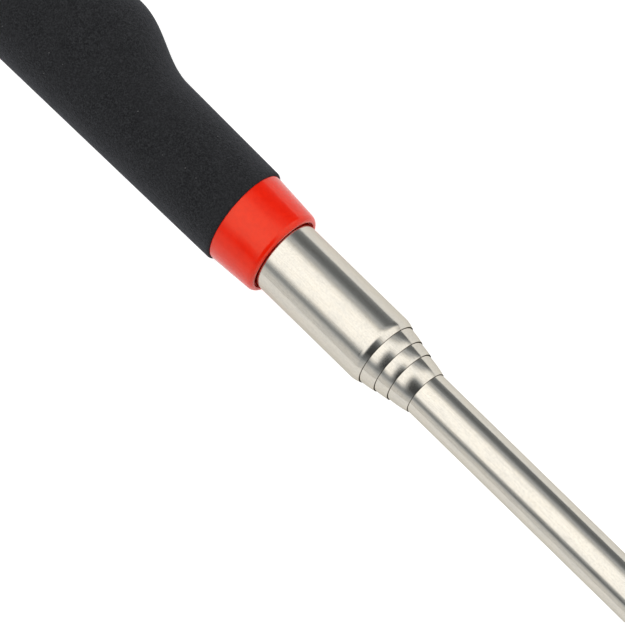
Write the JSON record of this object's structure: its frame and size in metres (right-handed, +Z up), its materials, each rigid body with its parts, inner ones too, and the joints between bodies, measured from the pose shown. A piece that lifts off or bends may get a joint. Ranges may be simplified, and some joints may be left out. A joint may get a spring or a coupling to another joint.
{
  "type": "telescoping pick-up reacher",
  "caption": "Telescoping pick-up reacher: foam grip with a one-sided swell, collar and end cap, nested steel tubes that pull out, and a swivelling magnet head.",
  "frame": {"origin": "centre of the hang hole in the end cap", "axes": "+X along the tool from the end cap to the magnet, +Y to the swollen side of the grip, +Z up out of the surface that the tool lies on, along the hang hole"},
  "size_m": [0.3243, 0.0284, 0.0234],
  "materials": {
    "foam": "matt closed-cell foam rubber with a fine grain",
    "red_plastic": "glossy moulded red plastic",
    "tube_steel": "bright polished stainless steel with faint drawing lines along the tube",
    "spring_steel": "bright rolled spring strip",
    "pin_steel": "plain drawn steel wire",
    "bush_brass": "turned brass",
    "bumper_rubber": "soft black rubber",
    "head_chrome": "bright nickel and chrome plating",
    "washer_steel": "spring steel, lightly oiled",
    "pot_steel": "nickel-plated ground steel",
    "magnet": "nickel-coated sintered neodymium magnet",
    "black_resin": "dull cast resin"
  },
  "bodies": {
    "handle": {"foam_grip": "foam", "front_collar": "red_plastic", "end_cap": "red_plastic", "end_cap_pin": "pin_steel", "rear_bumper": "bumper_rubber", "tube_1": "tube_steel"},
    "section_2": {"tube_2": "tube_steel", "stop_bush_2": "bush_brass", "friction_springs_2": "spring_steel"},
    "section_3": {"tube_3": "tube_steel", "stop_bush_3": "bush_brass", "friction_springs_3": "spring_steel"},
    "section_4": {"tube_4": "tube_steel", "stop_bush_4": "bush_brass", "friction_springs_4": "spring_steel"},
    "section_5": {"tube_5": "tube_steel", "stop_bush_5": "bush_brass", "friction_springs_5": "spring_steel", "head_socket": "head_chrome", "pivot_rivet": "head_chrome", "pivot_washers": "washer_steel"},
    "magnet_head": {"magnet_housing": "head_chrome", "magnet_cup": "pot_steel", "magnet_disc": "magnet", "pole_plate": "pot_steel", "insulating_ring": "black_resin"}
  },
  "joints": [
    {"name": "slide_2", "type": "slide", "parent": "handle", "child": "section_2", "axis": [1, 0, 0], "range_m": [0, 0.128]},
    {"name": "slide_3", "type": "slide", "parent": "section_2", "child": "section_3", "axis": [1, 0, 0], "range_m": [0, 0.129]},
    {"name": "slide_4", "type": "slide", "parent": "section_3", "child": "section_4", "axis": [1, 0, 0], "range_m": [0, 0.132]},
    {"name": "slide_5", "type": "slide", "parent": "section_4", "child": "section_5", "axis": [1, 0, 0], "range_m": [-0.095, 0.04]},
    {"name": "head_swivel", "type": "hinge", "parent": "section_5", "child": "magnet_head", "pos_m": [0.29325, 0, 0], "axis": [0, 0, 1], "range_deg": [-90, 90]}
  ]
}
